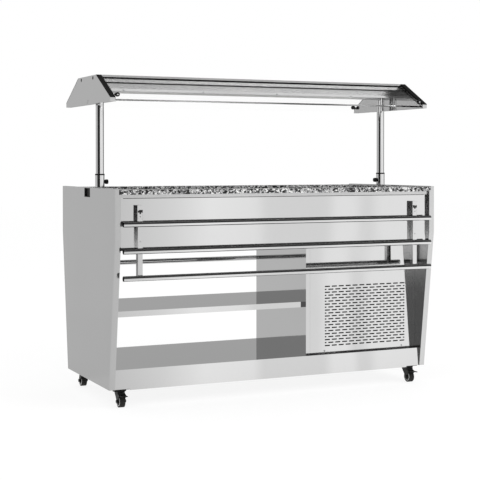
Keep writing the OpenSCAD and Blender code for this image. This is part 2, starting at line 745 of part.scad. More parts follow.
module slide_pins() color("dimgray") both_sides() both_ends()
    translate([arm_x, pivot_y, pivot_h]) rotate([0, 90, 0]) {
        cylinder(r = pin_d / 2, h = bracket_w, center = true);
        for (s = [-1, 1]) translate([0, 0, s * (bracket_w + pin_head_t) / 2])
            cylinder(r = pin_head_d / 2, h = pin_head_t, center = true);
    }

// Arm bent to a channel open towards the apron, with saddles for the rails
module slide_arms() color("gray") both_ends() difference() {
    drawn_x(arm_x - arm_w / 2, arm_x + arm_w / 2) difference() {
        union() {
            translate([arm_back_y, arm_foot_h]) square([arm_t, pivot_h - arm_foot_h]);
            translate([pivot_y, pivot_h]) circle(arm_round);
        }
        for (i = [0 : 2]) translate([rail_y, rail_low_h + i * rail_pitch]) circle(rail_d / 2);
        translate([pivot_y, pivot_h]) circle(pin_d / 2 + run_fit);
    }
    span([arm_x - arm_w / 2 + arm_wall, 0, arm_foot_h - over],
        [arm_x + arm_w / 2 - arm_wall, arm_back_y + arm_t - arm_wall, pivot_h + arm_round + over]);
    translate([arm_x, arm_back_y + arm_t, pivot_h]) rotate([90, 0, 0]) {
        for (s = [-1, 1]) translate([0, s * (oval_l - oval_w) / 2, 0])
            cylinder(r = oval_w / 2, h = 3 * arm_wall, center = true);
        for (drop = [screw_drop, screw_low_drop]) translate([0, -drop, 0])
            cylinder(r = screw_d / 2, h = 3 * arm_wall, center = true);
    }
}

module slide_rails() color("silver") for (i = [0 : 2])
    translate([0, rail_y, rail_low_h + i * rail_pitch]) rotate([0, 90, 0]) difference() {
        cylinder(r = rail_d / 2, h = 2 * rail_x, center = true);
        cylinder(r = rail_d / 2 - rail_wall, h = 2 * rail_x + 2 * over, center = true);
    }

module front_slide_arms() mirror([0, 1, 0]) slide_arms();
module front_slide_rails() mirror([0, 1, 0]) slide_rails();
module rear_slide_arms() slide_arms();
module rear_slide_rails() slide_rails();

module at_caster(x_side, y_side) translate([x_side * caster_x, y_side * caster_y, 0])
    mirror([0, y_side > 0 ? 0 : 1, 0]) children();

module caster_plates() color("black") for (x = [-1, 1], y = [-1, 1]) at_caster(x, y) {
    span([-caster_plate_w / 2, -caster_plate_l / 2, panel_foot_h - caster_plate_t],
        [caster_plate_w / 2, caster_plate_l / 2, panel_foot_h]);
    translate([0, 0, king_foot_h])
        cylinder(r = king_d / 2, h = panel_foot_h - caster_plate_t - king_foot_h);
    translate([0, 0, king_foot_h]) cylinder(r = king_d, h = king_head_t);
}

// Fork with its drum and axle; the wheel trails outwards
module caster_fork(braked) color("black") {
    difference() {
        translate([0, 0, drum_foot_h]) cylinder(r = drum_d / 2, h = drum_t);
        translate([0, 0, drum_foot_h - over]) cylinder(r = king_d / 2 + run_fit, h = drum_t + 2 * over);
    }
    for (s = [0, 1]) mirror([s, 0, 0]) {
        drawn_x(fork_x, fork_out_x) {
            polygon([[-drum_leg_y, drum_foot_h + over], [drum_leg_y, drum_foot_h + over],
                [caster_trail + axle_d, wheel_r], [caster_trail - axle_d, wheel_r]]);
            translate([caster_trail, wheel_r]) circle(axle_d);
            if (braked) polygon([[0, drum_foot_h + over],
                [caster_trail + pedal_y, pedal_h + pedal_pin_d],
                [caster_trail + pedal_y + pedal_pin_d, pedal_h], [caster_trail, wheel_r]]);
        }
        translate([fork_out_x, caster_trail, wheel_r]) rotate([0, 90, 0])
            cylinder(r = axle_nut_d / 2, h = axle_nut_t, $fn = 6);
    }
    rod([-fork_out_x, caster_trail, wheel_r], [fork_out_x, caster_trail, wheel_r], axle_r);
    if (braked) rod([-fork_out_x, caster_trail + pedal_y, pedal_h],
        [fork_out_x, caster_trail + pedal_y, pedal_h], pedal_pin_d / 2);
}

module fork_front_left() at_caster(-1, -1) caster_fork(true);
module fork_front_right() at_caster(1, -1) caster_fork(true);
module fork_rear_left() at_caster(-1, 1) caster_fork(false);
module fork_rear_right() at_caster(1, 1) caster_fork(false);

module caster_wheel() color("dimgray")
    translate([0, caster_trail, wheel_r]) rotate([0, 90, 0]) difference() {
        union() {
            cylinder(r = wheel_r, h = wheel_w - 2 * wheel_gap, center = true);
            cylinder(r = axle_d, h = wheel_w, center = true);
        }
        cylinder(r = axle_r + run_fit, h = 2 * wheel_w, center = true);
    }

module wheel_front_left() at_caster(-1, -1) caster_wheel();
module wheel_front_right() at_caster(1, -1) caster_wheel();
module wheel_rear_left() at_caster(-1, 1) caster_wheel();
module wheel_rear_right() at_caster(1, 1) caster_wheel();

module brake_pedal() color("dimgray") difference() {
    drawn_x(-fork_x + slip_gap, fork_x - slip_gap) translate([caster_trail + pedal_y, pedal_h]) {
        circle(pedal_pin_d);
        translate([0, pedal_pin_d - pedal_t]) square([pedal_l, pedal_t]);
    }
    translate([0, caster_trail + pedal_y, pedal_h]) rotate([0, 90, 0])
        cylinder(r = pedal_pin_d / 2 + run_fit, h = 2 * wheel_w, center = true);
    span([-pedal_notch_w / 2, pedal_tip_y - pedal_notch_l, wheel_r],
        [pedal_notch_w / 2, pedal_tip_y + over, wheel_d + pedal_l]);
}

module pedal_left() at_caster(-1, -1) brake_pedal();
module pedal_right() at_caster(1, -1) brake_pedal();

module post_sockets() color("silver") both_ends() translate([post_x, 0, 0]) difference() {
    translate([0, 0, socket_foot_h]) cylinder(r = socket_d / 2, h = collar_foot_h - socket_foot_h);
    translate([0, 0, rim_foot_h]) cylinder(r = post_r + run_fit, h = collar_foot_h);
    translate([0, 0, stud_h]) rotate([0, -90, 0]) cylinder(r = stud_d / 2 + run_fit, h = socket_d);
}

module collar_rings() color("black") both_ends() translate([post_x, 0, collar_foot_h]) difference() {
    cylinder(r = socket_d / 2 + collar_lip, h = collar_h);
    translate([0, 0, -over]) cylinder(r = post_r + run_fit, h = collar_h + 2 * over);
}

module thumbscrew() color("black") translate([post_x, 0, stud_h]) rotate([0, -90, 0]) {
    translate([0, 0, post_r + seat_gap]) cylinder(r = stud_d / 2, h = socket_d / 2 - post_r + knob_gap);
    translate([0, 0, socket_d / 2 + knob_gap]) cylinder(r = knob_d / 2, h = knob_t);
}

module left_thumbscrew() mirror([1, 0, 0]) thumbscrew();
module right_thumbscrew() thumbscrew();

module canopy_posts() color("silver") both_ends()
    translate([post_x, 0, granite_foot_h + seat_gap]) difference() {
        cylinder(r = post_r, h = hood_foot_h - granite_foot_h - seat_gap);
        translate([0, 0, -over]) cylinder(r = post_r - post_wall, h = hood_foot_h);
    }

// Outline of an end plate under its edge strips, drawn in by a wall
function plate_points(wall) = [
    [canopy_d / 2 - wall, canopy_foot_h + wall], [canopy_d / 2 - wall, corner_top_h - strip_drop - wall],
    [housing_y - wall, overall_h - strip_drop - wall], [housing_y - wall, overall_h - wall],
    [-housing_y + wall, overall_h - wall], [-housing_y + wall, overall_h - strip_drop - wall],
    [-canopy_d / 2 + wall, corner_top_h - strip_drop - wall], [-canopy_d / 2 + wall, canopy_foot_h + wall]];

module end_plate() color("silver") difference() {
    drawn_x(plate_x, half_l) polygon(plate_points(0));
    drawn_x(plate_x - over, half_l - sheet_t) polygon(plate_points(sheet_t));
    for (s = [-1, 1]) translate([half_l, s * (housing_y - 2 * end_plate_t), overall_h - plate_hole_drop])
        rotate([0, 90, 0]) cylinder(r = plate_hole_d / 2, h = 2 * sheet_t + over, center = true);
}

module left_end_plate() mirror([1, 0, 0]) end_plate();
module right_end_plate() end_plate();

module end_plate_covers() color("silver") both_ends()
    drawn_x(plate_x, plate_x + sheet_t) polygon(plate_points(sheet_t));

module edge_strips() color("black") both_sides() both_ends() drawn_x(plate_x, half_l)
    polygon([[housing_y, overall_h], [canopy_d / 2, corner_top_h],
        [canopy_d / 2, corner_top_h - strip_drop], [housing_y, overall_h - strip_drop]]);

module canopy_housing() color("silver") difference() {
    span([-plate_x, -housing_y, housing_foot_h], [plate_x, housing_y, overall_h]);
    span([-plate_x - over, -housing_y + sheet_t, housing_foot_h + sheet_t],
        [plate_x + over, housing_y - sheet_t, overall_h - sheet_t]);
    span([-plate_x - over, -hood_y, 0], [plate_x + over, hood_y, overall_h - sheet_t]);
}

// Outline of the lamp hood, drawn in by a wall
function hood_points(wall) = [
    [-hood_y + hem_lean + wall, hood_foot_h + wall], [hood_y - hem_lean - wall, hood_foot_h + wall],
    [hood_y - wall, hood_foot_h + hem_h], [hood_y - wall, overall_h - sheet_t + wall],
    [-hood_y + wall, overall_h - sheet_t + wall], [-hood_y + wall, hood_foot_h + hem_h]];

module lamp_hood() color("silver") difference() {
    drawn_x(-plate_x, plate_x) polygon(hood_points(0));
    drawn_x(-plate_x - over, plate_x + over) polygon(hood_points(sheet_t));
    span([-diffuser_x, -diffuser_w / 2, 0], [diffuser_x, diffuser_w / 2, overall_h]);
}

module lamp_diffuser() color("white")
    span([-diffuser_x, -diffuser_w / 2, hood_foot_h], [diffuser_x, diffuser_w / 2, hood_foot_h + glass_t]);

function slant_h(y) = overall_h - (y - housing_y) * tan(canopy_slope);

module glass() color("lightblue", 0.4) drawn_x(-glass_x, glass_x)
    polygon([[glass_y0, slant_h(glass_y0) - glass_drop], [glass_y1, slant_h(glass_y1) - glass_drop],
        [glass_y1, slant_h(glass_y1) - glass_drop - glass_t / cos(canopy_slope)],
        [glass_y0, slant_h(glass_y0) - glass_drop - glass_t / cos(canopy_slope)]]);

module front_glass() mirror([0, 1, 0]) glass();
module rear_glass() glass();

// Round clamp over each lower corner of the glass, on a neck from the end plate
module glass_clamps() color("gray") both_sides() both_ends() {
    clamp_x = plate_x - clamp_neck - clamp_d / 2;
    clamp_h = slant_h(clamp_y - clamp_t / 2) - glass_drop + seat_gap + clamp_d / 2;
    translate([clamp_x, clamp_y, clamp_h]) rotate([90, 0, 0])
        cylinder(r = clamp_d / 2, h = clamp_t, center = true);
    rod([clamp_x, clamp_y, clamp_h], [plate_x, clamp_y, clamp_h], clamp_t / 3);
}

left_end_panel();
right_end_panel();
inner_skins();
granite_top();
top_frame();
front_apron();
rear_apron();
well_rim();
cold_well();
well_insulation();
evaporator_coil();
divider_bars();
drain_pipe();
floor_tray();
mid_shelf();
partition();
grille_cover();
rear_cover();
machine_plate();
compressor();
condenser();
fan_motor();
fan_blades();
refrigerant_lines();
thermostat_knob();
power_switch();
power_inlet();
end_pulls();
slide_brackets();
slide_pins();
front_slide_arms();
front_slide_rails();
rear_slide_arms();
rear_slide_rails();
caster_plates();
fork_front_left();
fork_front_right();
fork_rear_left();
fork_rear_right();
wheel_front_left();
wheel_front_right();
wheel_rear_left();
wheel_rear_right();
pedal_left();
pedal_right();
post_sockets();
collar_rings();
left_thumbscrew();
right_thumbscrew();
canopy_posts();
left_end_plate();
right_end_plate();
end_plate_covers();
canopy_housing();
lamp_hood();
lamp_diffuser();
front_glass();
rear_glass();
edge_strips();
glass_clamps();
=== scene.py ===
import bpy
import bmesh
import math
from mathutils import Matrix, Vector


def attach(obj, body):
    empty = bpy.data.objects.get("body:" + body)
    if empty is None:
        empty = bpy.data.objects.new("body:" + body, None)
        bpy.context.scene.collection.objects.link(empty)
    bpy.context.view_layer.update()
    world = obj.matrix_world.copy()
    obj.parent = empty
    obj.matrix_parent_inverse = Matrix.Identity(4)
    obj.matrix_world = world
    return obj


# Salad bar on casters: camera, soft studio, finishes, then the small fittings that the CAD frame leaves bare
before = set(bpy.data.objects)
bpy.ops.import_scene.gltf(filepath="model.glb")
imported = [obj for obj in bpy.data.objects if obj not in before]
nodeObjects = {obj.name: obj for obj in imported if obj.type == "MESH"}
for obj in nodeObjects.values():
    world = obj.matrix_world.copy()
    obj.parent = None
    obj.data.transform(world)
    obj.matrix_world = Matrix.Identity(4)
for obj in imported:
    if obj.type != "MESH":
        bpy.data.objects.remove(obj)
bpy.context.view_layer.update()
scene = bpy.context.scene
print("frame loaded:", len(nodeObjects), "nodes")

# the photograph's viewpoint
cameraSetup = {
    "place": (-2.29107, -4.92870, 1.00346),
    "pitch": math.pi / 2 - 0.0144,
    "heading": -0.4288,
    "lens": 89.925,
    "sensorWidth": 36,
    "shiftY": -0.125,
    "clipEnd": 60,
}


def buildCamera(s):
    data = bpy.data.cameras.new("photoCamera")
    data.lens = s["lens"]
    data.sensor_width = s["sensorWidth"]
    data.shift_y = s["shiftY"]
    data.clip_end = s["clipEnd"]
    camera = bpy.data.objects.new("photoCamera", data)
    camera.location = s["place"]
    camera.rotation_euler = (s["pitch"], 0, s["heading"])
    scene.collection.objects.link(camera)
    scene.camera = camera


buildCamera(cameraSetup)
scene.view_settings.view_transform = "Standard"
print("camera placed")

# every node tree made here, spread out for reading at the end
trees = []
white = (1, 1, 1, 1)


def grey(level):
    return (level, level, level, 1)


def deselectAll():
    # leaves edit mode first
    if bpy.context.mode != "OBJECT":
        bpy.ops.object.mode_set(mode="OBJECT")
    bpy.ops.object.select_all(action="DESELECT")


def startMaterial(name):
    material = bpy.data.materials.new(name)
    material.use_nodes = True
    trees.append(material.node_tree)
    return material, material.node_tree


def feed(tree, node, inputs):
    # inputs by name or number: a socket is linked, a value is set
    for key, value in inputs.items():
        if isinstance(value, bpy.types.NodeSocket):
            tree.links.new(value, node.inputs[key])
        else:
            node.inputs[key].default_value = value
    return node


def addNode(tree, kind, inputs=None):
    return feed(tree, tree.nodes.new(kind), inputs or {})


def mathNode(tree, operation, first, second):
    node = tree.nodes.new("ShaderNodeMath")
    node.operation = operation
    return feed(tree, node, {0: first, 1: second}).outputs[0]


def rangeNode(tree, source, low, high, fromLow=0.0, fromHigh=1.0):
    ends = {"From Min": fromLow, "From Max": fromHigh, "To Min": low, "To Max": high}
    return addNode(tree, "ShaderNodeMapRange", {"Value": source, **ends}).outputs["Result"]


def rampNode(tree, source, stops, interpolation="LINEAR"):
    node = addNode(tree, "ShaderNodeValToRGB", {"Fac": source})
    ramp = node.color_ramp
    ramp.interpolation = interpolation
    while len(ramp.elements) < len(stops):
        ramp.elements.new(0.5)
    for element, (position, colour) in zip(ramp.elements, stops):
        element.position = position
        element.color = colour
    return node.outputs["Color"]


def mixColours(tree, factor, first, second):
    node = tree.nodes.new("ShaderNodeMix")
    node.data_type = "RGBA"
    firstSlot, secondSlot = [number for number, slot in enumerate(node.inputs) if slot.type == "RGBA"]
    feed(tree, node, {0: factor, firstSlot: first, secondSlot: second})
    return next(slot for slot in node.outputs if slot.type == "RGBA")


def mixShaders(tree, share, first, second):
    return addNode(tree, "ShaderNodeMixShader", {"Fac": share, 1: first, 2: second}).outputs[0]


def bumpNode(tree, height, strength, distance, normal=None):
    inputs = {"Height": height, "Strength": strength, "Distance": distance}
    if normal is not None:
        inputs["Normal"] = normal
    return addNode(tree, "ShaderNodeBump", inputs).outputs["Normal"]


def seenDirectly(tree, paths):
    # 1 for rays from the camera, from a mirror or through glass
    pair = mathNode(tree, "MAXIMUM", paths.outputs["Is Camera Ray"], paths.outputs["Is Glossy Ray"])
    return mathNode(tree, "MAXIMUM", pair, paths.outputs["Is Transmission Ray"])


def mirroredShare(tree, paths, mirrors=1):
    # 1 for a ray that has met that many mirrors, also once it has passed through glass after them
    met = mathNode(tree, "GREATER_THAN", paths.outputs["Glossy Depth"], mirrors - 0.5)
    kind = mathNode(tree, "MAXIMUM", paths.outputs["Is Glossy Ray"], paths.outputs["Is Transmission Ray"])
    return mathNode(tree, "MULTIPLY", met, kind)


# plain pale floor
floorSetup = {
    "size": 40,
    "colour": (0.93, 0.93, 0.93, 1),
    "rough": 0.9,
    "specular": 0.1,
    "whiteLevel": 1.05,
    "whiteShare": 0.8,  # share of the floor that shows as plain white to the camera, the rest keeps the shadow
}


def buildFloor(s):
    deselectAll()
    bpy.ops.mesh.primitive_plane_add(size=s["size"], location=(0, 0, 0))
    floor = bpy.context.object
    floor.name = "floor"
    material, tree = startMaterial("paleFloor")
    shader = feed(tree, tree.nodes["Principled BSDF"], {
        "Base Color": s["colour"], "Roughness": s["rough"], "Specular IOR Level": s["specular"]})
    glow = addNode(tree, "ShaderNodeEmission", {"Color": white, "Strength": s["whiteLevel"]})
    seen = seenDirectly(tree, addNode(tree, "ShaderNodeLightPath"))
    share = mathNode(tree, "MULTIPLY", seen, s["whiteShare"])
    blend = mixShaders(tree, share, shader.outputs[0], glow.outputs[0])
    feed(tree, tree.nodes["Material Output"], {"Surface": blend})
    floor.data.materials.append(material)


# white round the set, and a dark hall above it that only the polished steel sees
worldSetup = {
    "roomLevel": 0.86,
    "backdropLevel": 1.0,
    "fadeFrom": 0.042,  # sine of the height where the steel's white surroundings begin to fade
    "fadeTo": 0.112,
    "frontLevel": 0.045,  # of the dark hall
    "backLevel": 0.42,
    "riseFrom": -0.25,  # the direction's Y where the hall begins to brighten towards the rear
    "riseTo": 0.55,
}


def buildWorld(s):
    world = bpy.data.worlds.new("studio")
    scene.world = world
    world.use_nodes = True
    tree = world.node_tree
    trees.append(tree)
    tree.nodes.clear()
    paths = addNode(tree, "ShaderNodeLightPath")
    way = addNode(tree, "ShaderNodeTexCoord")
    axes = addNode(tree, "ShaderNodeSeparateXYZ", {0: way.outputs["Generated"]})
    high = rangeNode(tree, axes.outputs["Z"], 0.0, 1.0, s["fadeFrom"], s["fadeTo"])
    back = rangeNode(tree, axes.outputs["Y"], s["frontLevel"], s["backLevel"], s["riseFrom"], s["riseTo"])
    low = mathNode(tree, "SUBTRACT", 1.0, high)
    sky = mathNode(tree, "ADD", low, mathNode(tree, "MULTIPLY", high, back))
    hall = addNode(tree, "ShaderNodeBackground", {"Color": white, "Strength": sky})
    room = addNode(tree, "ShaderNodeBackground", {"Color": white, "Strength": s["roomLevel"]})
    backdrop = addNode(tree, "ShaderNodeBackground", {"Color": white, "Strength": s["backdropLevel"]})
    shown = mixShaders(tree, seenDirectly(tree, paths), room.outputs[0], backdrop.outputs[0])
    mirrored = mixShaders(tree, mirroredShare(tree, paths), shown, hall.outputs[0])
    addNode(tree, "ShaderNodeOutputWorld", {"Surface": mirrored})


# large lamps that the steel doesn't mirror
softBoxes = {
    "keyLight": {"place": (2.6, -3.6, 3.4), "target": (0, 0, 0.7), "size": 3.0, "power": 70},
    "fillLight": {"place": (-3.4, -2.4, 2.6), "target": (0, 0, 0.7), "size": 3.0, "power": 26},
}


def buildSoftBox(name, s):
    data = bpy.data.lights.new(name, "AREA")
    data.size = s["size"]
    data.energy = s["power"]
    lamp = bpy.data.objects.new(name, data)
    lamp.location = s["place"]
    lamp.rotation_euler = (Vector(s["target"]) - Vector(s["place"])).to_track_quat("-Z", "Y").to_euler()
    lamp.visible_glossy = False
    scene.collection.objects.link(lamp)


# soft upright bands of light that the front's flat steel shows, by their place on the front and level
frontBands = {
    "front": -0.36,
    "eyeDistance": 4.9,  # from the front to the viewer's place, which sets how the bands spread
    "eyeShift": 2.36,
    "peak": 1.06,
    "stops": ((-0.85, 0.60), (-0.50, 0.82), (-0.30, 1.0), (-0.07, 0.96), (-0.02, 0.83), (0.28, 0.83),
              (0.33, 0.97), (0.43, 0.97), (0.47, 0.84), (0.51, 0.84), (0.56, 0.97), (0.90, 0.95)),
}


def bandStrength(tree, s):
    place = addNode(tree, "ShaderNodeTexCoord")
    axes = addNode(tree, "ShaderNodeSeparateXYZ", {0: place.outputs["Object"]})
    away = mathNode(tree, "SUBTRACT", s["front"], axes.outputs["Y"])
    side = mathNode(tree, "MULTIPLY", axes.outputs["X"], s["eyeDistance"])
    drift = mathNode(tree, "MULTIPLY", away, s["eyeShift"])
    reach = mathNode(tree, "ADD", away, s["eyeDistance"])
    across = mathNode(tree, "DIVIDE", mathNode(tree, "SUBTRACT", side, drift), reach)
    share = rangeNode(tree, across, 0.0, 1.0, -1.0, 1.0)
    levels = rampNode(tree, share, [((x + 1) / 2, grey(level)) for x, level in s["stops"]])
    return mathNode(tree, "MULTIPLY", levels, s["peak"])


def standing(start, end, foot, top):
    (x0, y0), (x1, y1) = start, end
    return (x0, y0, foot), (x1, y1, foot), (x1, y1, top), (x0, y0, top)


def lying(near, far, z):
    (x0, y0), (x1, y1) = near, far
    return (x0, y0, z), (x1, y0, z), (x1, y1, z), (x0, y1, z)


# cards round the set, seen only in the steel: corners, level, and how many mirrors a ray has met before it sees them
cards = {
    "leftCard": {"corners": standing((-7.0, -0.6), (-1.75, -5.0), 0.4, 3.4), "level": 0.03},
    "frontLeftCard": {"corners": standing((-1.75, -5.0), (-0.9, -5.7), 0.4, 3.4), "level": 0.10, "mirrors": 2},
    "backLeftCard": {"corners": standing((-4.6, -0.5), (-0.75, 3.77), 0, 3.4), "level": 0.59},
    "backCard": {"corners": standing((-0.75, 3.77), (3.4, 4.6), 0, 3.4), "level": 0.41},
    "backDimCard": {"corners": standing((-4.5, -0.5), (-0.75, 3.65), 0, 1.2), "level": 0.27, "mirrors": 2},
    "rightCard": {"corners": standing((7.0, -1.6), (3.4, 4.6), 0, 3.4), "level": 0.26},
    # the dark card on the floor in front paints the floor's shadow as the steel shows it after two mirrors
    "floorShadowCard": {"corners": lying((-4.0, -6.5), (1.4, -0.40), 0.003), "level": 0.14, "mirrors": 2},
    "leftFloorCard": {"corners": lying((-4.4, -0.36), (-0.78, 0.42), 0.003), "level": 0.61},
    "backFloorCard": {"corners": lying((-4.4, 0.42), (1.6, 4.4), 0.003), "level": 0.58},
    "bandFloor": {"corners": lying((-2.5, -0.40), (8.0, -7.0), 0.002), "bands": frontBands},
    "bandWall": {"corners": standing((1.0, -7.0), (8.0, -7.0), 0.002, 1.2), "bands": frontBands},
}


def buildCard(name, s):
    deselectAll()
    bpy.ops.mesh.primitive_plane_add(size=1, location=(0, 0, 0))
    plane = bpy.context.object
    plane.name = name
    for vertex, corner in zip((0, 1, 3, 2), s["corners"]):
        plane.data.vertices[vertex].co = corner
    material, tree = startMaterial(name)
    tree.nodes.clear()
    strength = bandStrength(tree, s["bands"]) if "bands" in s else s["level"]
    glow = addNode(tree, "ShaderNodeEmission", {"Color": white, "Strength": strength})
    clear = addNode(tree, "ShaderNodeBsdfTransparent")
    share = mirroredShare(tree, addNode(tree, "ShaderNodeLightPath"), s.get("mirrors", 1))
    shown = mixShaders(tree, share, clear.outputs[0], glow.outputs[0])
    addNode(tree, "ShaderNodeOutputMaterial", {"Surface": shown})
    plane.data.materials.append(material)
    plane.visible_camera = False
    plane.visible_diffuse = False
    plane.visible_shadow = False


buildFloor(floorSetup)
buildWorld(worldSetup)
for lampName, lampValues in softBoxes.items():
    buildSoftBox(lampName, lampValues)
for cardName, cardValues in cards.items():
    buildCard(cardName, cardValues)
print("studio built")

# effects that several finishes share
effects = {}


def startGroup(name, vectors, values, outputs):
    group = bpy.data.node_groups.new(name, "ShaderNodeTree")
    for socketName in vectors:
        group.interface.new_socket(socketName, in_out="INPUT", socket_type="NodeSocketVector")
    for socketName in values:
        group.interface.new_socket(socketName, in_out="INPUT", socket_type="NodeSocketFloat")
    for socketName in outputs:
        group.interface.new_socket(socketName, in_out="OUTPUT", socket_type="NodeSocketFloat")
    effects[name] = group
    trees.append(group)
    return group, group.nodes.new("NodeGroupInput").outputs, group.nodes.new("NodeGroupOutput")


# fine parallel scratches and the long soft waves of rolled sheet
steelGrain = {
    "scratches": {"Scale": 620, "Detail": 2, "Roughness": 0.55},
    "waves": {"Scale": 2.2, "Detail": 1, "Roughness": 0.4},
}


def buildSteelGrain(s):
    group, given, end = startGroup("steelGrain", ["Vector", "Along"], [], ["Scratches", "Waves"])
    stretch = group.nodes.new("ShaderNodeVectorMath")
    stretch.operation = "MULTIPLY"
    feed(group, stretch, {0: given["Vector"], 1: given["Along"]})
    fine = addNode(group, "ShaderNodeTexNoise", {"Vector": stretch.outputs[0], **s["scratches"]})
    broad = addNode(group, "ShaderNodeTexNoise", {"Vector": given["Vector"], **s["waves"]})
    feed(group, end, {"Scratches": fine.outputs["Fac"], "Waves": broad.outputs["Fac"]})


# faint wipes and finger marks, as a mask from 0 to 1
handlingMarks = {
    "cloud": {"Detail": 5, "Roughness": 0.62, "Distortion": 0.6},
    "stops": ((0.48, grey(0)), (0.68, grey(1))),
}


def buildHandlingMarks(s):
    group, given, end = startGroup("handlingMarks", ["Vector"], ["Size", "Amount"], ["Mask"])
    cloud = addNode(group, "ShaderNodeTexNoise", {"Vector": given["Vector"], "Scale": given["Size"], **s["cloud"]})
    soft = rampNode(group, cloud.outputs["Fac"], s["stops"])
    feed(group, end, {"Mask": mathNode(group, "MULTIPLY", soft, given["Amount"])})


# dust that settles near the floor
floorDust = {"specks": {"Scale": 90, "Detail": 4, "Roughness": 0.7}}


def buildFloorDust(s):
    group, given, end = startGroup("floorDust", ["Vector"], ["Height", "Amount"], ["Mask"])
    axes = addNode(group, "ShaderNodeSeparateXYZ", {0: given["Vector"]})
    share = mathNode(group, "DIVIDE", axes.outputs["Z"], given["Height"])
    held = addNode(group, "ShaderNodeClamp", {"Value": mathNode(group, "SUBTRACT", 1.0, share)})
    specks = addNode(group, "ShaderNodeTexNoise", {"Vector": given["Vector"], **s["specks"]})
    mixed = mathNode(group, "MULTIPLY", held.outputs[0], specks.outputs["Fac"])
    feed(group, end, {"Mask": mathNode(group, "MULTIPLY", mixed, given["Amount"])})


# leather-like pebble of moulded plastic and the peel of sprayed paint
mouldedGrain = {"patches": {"Scale": 24, "Detail": 4, "Roughness": 0.6}}


def buildMouldedGrain(s):
    group, given, end = startGroup("mouldedGrain", ["Vector"], ["Size"], ["Height", "Patches"])
    pebble = group.nodes.new("ShaderNodeTexVoronoi")
    pebble.feature = "SMOOTH_F1"
    feed(group, pebble, {"Vector": given["Vector"], "Scale": given["Size"]})
    patch = addNode(group, "ShaderNodeTexNoise", {"Vector": given["Vector"], **s["patches"]})
    feed(group, end, {"Height": pebble.outputs["Distance"], "Patches": patch.outputs["Fac"]})


buildSteelGrain(steelGrain)
buildHandlingMarks(handlingMarks)
buildFloorDust(floorDust)
buildMouldedGrain(mouldedGrain)
print("effects built:", ", ".join(effects))

finishes = {}


def startFinish(name):
    material, tree = startMaterial(name)
    finishes[name] = material
    coordinates = addNode(tree, "ShaderNodeTexCoord")
    return tree, tree.nodes["Principled BSDF"], coordinates.outputs["Object"]


def useEffect(tree, name, vector, **values):
    node = tree.nodes.new("ShaderNodeGroup")
    node.node_tree = effects[name]
    return feed(tree, node, {"Vector": vector, **values}).outputs


# each steel: two shades, roughness, stretch and depth of the scratches, depth of the waves, marks and dust
steels = {
    "satinSteel": {"light": 0.74, "dark": 0.70, "rough": (0.16, 0.24), "along": (0.02, 1, 1), "scratch": 0.08,
                   "wave": 0.0024, "marks": 0.05, "dust": 0.25},
    "frameSteel": {"light": 0.70, "dark": 0.66, "rough": (0.16, 0.24), "along": (0.02, 1, 1), "scratch": 0.08,
                   "wave": 0.0024, "marks": 0.05, "dust": 0.25},
    "apronSteel": {"light": 0.755, "dark": 0.71, "rough": (0.03, 0.07), "along": (1, 1, 0.03), "scratch": 0.02,
                   "wave": 0.0024, "marks": 0.04, "dust": 0.20},
    "skinSteel": {"light": 0.70, "dark": 0.66, "rough": (0.10, 0.16), "along": (1, 1, 0.03), "scratch": 0.03,
                  "wave": 0.0024, "marks": 0.04, "dust": 0.20},
    # the end panels' steel is set darker than the other steels: painted shade
    "shadedPanelSteel": {"light": 0.67, "dark": 0.63, "rough": (0.10, 0.16), "along": (1, 1, 0.02), "scratch": 0.08,
                   "wave": 0.0024, "marks": 0.05, "dust": 0.25},
    "mirrorSteel": {"light": 0.755, "dark": 0.715, "rough": (0.02, 0.06), "along": (1, 1, 0.03), "scratch": 0.02,
                    "wave": 0.0024, "marks": 0.04, "dust": 0.20},
    "bracketSteel": {"light": 0.77, "dark": 0.73, "rough": (0.12, 0.20), "along": (0.02, 1, 1), "scratch": 0.02,
                     "wave": 0.0, "marks": 0.04, "dust": 0.0},
    "wellSteel": {"light": 0.80, "dark": 0.76, "rough": (0.34, 0.44), "along": (0.02, 1, 1), "scratch": 0.08,
                  "wave": 0.0024, "marks": 0.05, "dust": 0.0},
    "plateSteel": {"light": 0.67, "dark": 0.63, "rough": (0.03, 0.07), "along": (1, 1, 0.02), "scratch": 0.04,
                   "wave": 0.0024, "marks": 0.04, "dust": 0.0},
    "tubeSteel": {"light": 0.78, "dark": 0.74, "rough": (0.03, 0.08), "along": (0.02, 1, 1), "scratch": 0.02,
                  "wave": 0.0, "marks": 0.04, "dust": 0.0},
}
steelWear = {
    "scratchShare": 0.16,  # how far a scratch darkens the sheet towards its own shade
    "scratchShade": 0.8,
    "scratchDepth": 0.0002,
    "waveStrength": 0.5,
    "markSize": 5.0,
    "dustHeight": 0.16,
    "dustColour": (0.42, 0.40, 0.37, 1),
    "dustRough": 0.5,
}


def buildSteel(name, s, wear):
    tree, shader, place = startFinish(name)
    grain = useEffect(tree, "steelGrain", place, Along=s["along"])
    marks = useEffect(tree, "handlingMarks", place, Size=wear["markSize"], Amount=1.0)["Mask"]
    dust = useEffect(tree, "floorDust", place, Height=wear["dustHeight"], Amount=s["dust"])["Mask"]
    sheet = mixColours(tree, grain["Waves"], grey(s["dark"]), grey(s["light"]))
    lines = rangeNode(tree, grain["Scratches"], 0.0, wear["scratchShare"])
    lined = mixColours(tree, lines, sheet, grey(s["dark"] * wear["scratchShade"]))
    ground = rangeNode(tree, grain["Scratches"], *s["rough"])
    wiped = mathNode(tree, "ADD", ground, mathNode(tree, "MULTIPLY", marks, s["marks"]))
    normal = bumpNode(tree, grain["Scratches"], s["scratch"], wear["scratchDepth"])
    if s["wave"]:
        normal = bumpNode(tree, grain["Waves"], wear["waveStrength"], s["wave"], normal)
    feed(tree, shader, {
        "Metallic": 1.0,
        "Base Color": mixColours(tree, dust, lined, wear["dustColour"]),
        "Roughness": mathNode(tree, "ADD", wiped, mathNode(tree, "MULTIPLY", dust, wear["dustRough"])),
        "Normal": normal})


for steelName, steelValues in steels.items():
    buildSteel(steelName, steelValues, steelWear)

